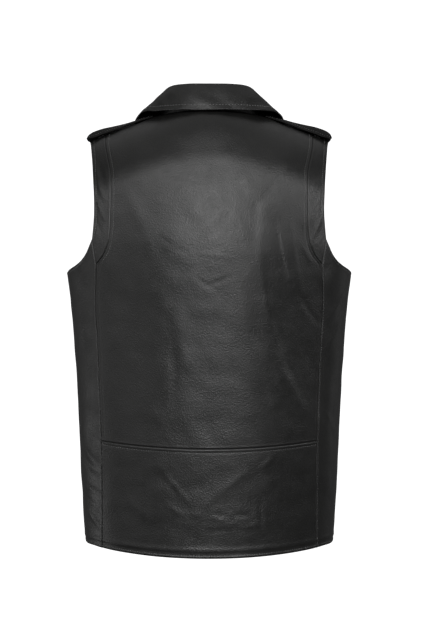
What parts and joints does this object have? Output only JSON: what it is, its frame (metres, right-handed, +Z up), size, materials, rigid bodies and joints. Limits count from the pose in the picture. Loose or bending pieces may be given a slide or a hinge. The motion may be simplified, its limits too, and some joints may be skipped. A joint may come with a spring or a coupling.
{
  "type": "leather vest",
  "caption": "Sleeveless black leather biker vest with a fold-over collar, lapels, epaulettes, side panels and a front zip, filled out as if worn.",
  "frame": {"origin": "midway between the two neck points of the shoulder seams, level with them, where the shoulders carry the vest", "axes": "+Z up along the standing body, +Y out of the back, -Y out of the zipped front, +X to the wearer's left"},
  "size_m": [0.425, 0.2522, 0.6859],
  "materials": {
    "panel_leather": "slightly glossy, fine grained",
    "trim_leather": "slightly glossy",
    "tape_cloth": "matt woven tape",
    "zip_metal": "nickel plated",
    "snap_metal": "plated, satin"
  },
  "bodies": {
    "vest": {"back_panel": "panel_leather", "back_waist_panel": "panel_leather", "side_panel_left": "panel_leather", "side_panel_right": "panel_leather", "front_panel_left": "panel_leather", "front_panel_right": "panel_leather", "armhole_band_left": "panel_leather", "armhole_band_right": "panel_leather", "lapel_left": "panel_leather", "lapel_right": "panel_leather", "collar": "panel_leather", "epaulette_left": "trim_leather", "epaulette_right": "trim_leather", "epaulette_snap_left": "snap_metal", "epaulette_snap_right": "snap_metal", "zip_tape_left": "tape_cloth", "zip_tape_right": "tape_cloth", "zip_chain": "zip_metal", "zip_slider": "zip_metal", "zip_slider_bow": "zip_metal"},
    "zip_pull": {"zip_pull": "zip_metal"}
  },
  "joints": [
    {"name": "zip_pull_hinge", "type": "hinge", "parent": "vest", "child": "zip_pull", "pos_m": [0, -0.12897, -0.2344], "axis": [-1, 0, 0], "range_deg": [0, 150]}
  ]
}
